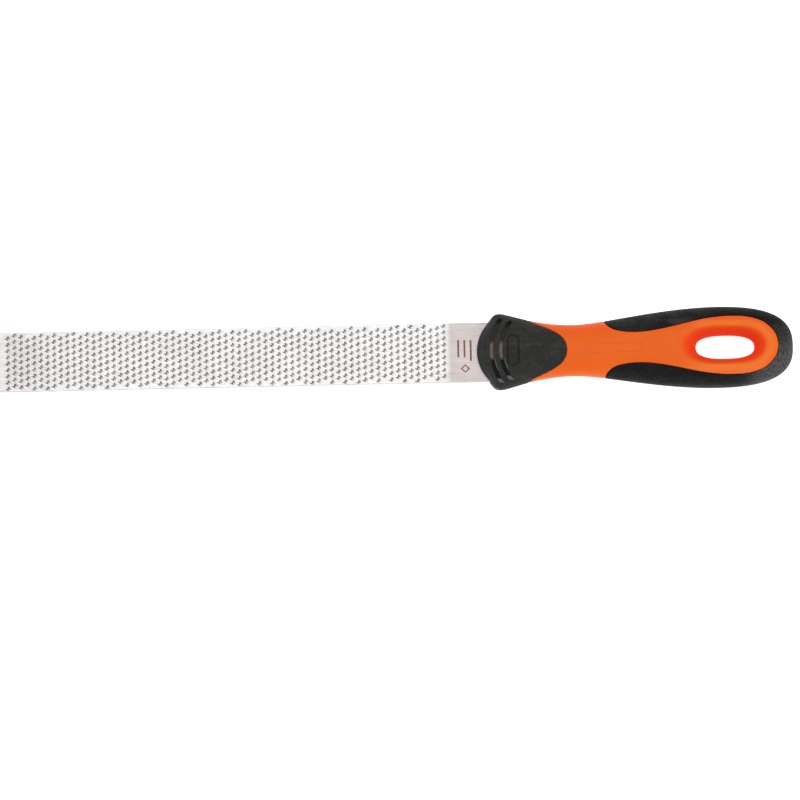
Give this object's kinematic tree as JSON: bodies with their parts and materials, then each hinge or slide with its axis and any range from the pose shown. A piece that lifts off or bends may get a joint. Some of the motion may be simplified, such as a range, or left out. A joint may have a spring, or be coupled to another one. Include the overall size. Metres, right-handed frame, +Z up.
{
  "type": "wood rasp",
  "caption": "Flat wood rasp: a square-ended steel blade with coarse punched teeth on both faces, its tang held in a two-material handle with a hanging eye.",
  "frame": {"origin": "under the middle of the tool's length, on its centre line, level with the belly of the handle", "axes": "+X from the blade's tip to the handle's butt, +Y across the blade's width, +Z up out of the blade's upper face, on the same side as the collar's blank badge and the core's blank panel"},
  "size_m": [0.3325, 0.034, 0.0234],
  "materials": {
    "blade_steel": "ground and hardened, fine grain across the heel, bright punched teeth",
    "core_plastic": "moulded orange polypropylene, soft sheen",
    "collar_rubber": "moulded black thermoplastic rubber, fine matt texture",
    "grip_rubber": "moulded black thermoplastic rubber, fine matt texture"
  },
  "bodies": {
    "root": {"rasp_blade": "blade_steel", "handle_core": "core_plastic", "front_collar": "collar_rubber", "rear_grip": "grip_rubber"}
  },
  "joints": []
}
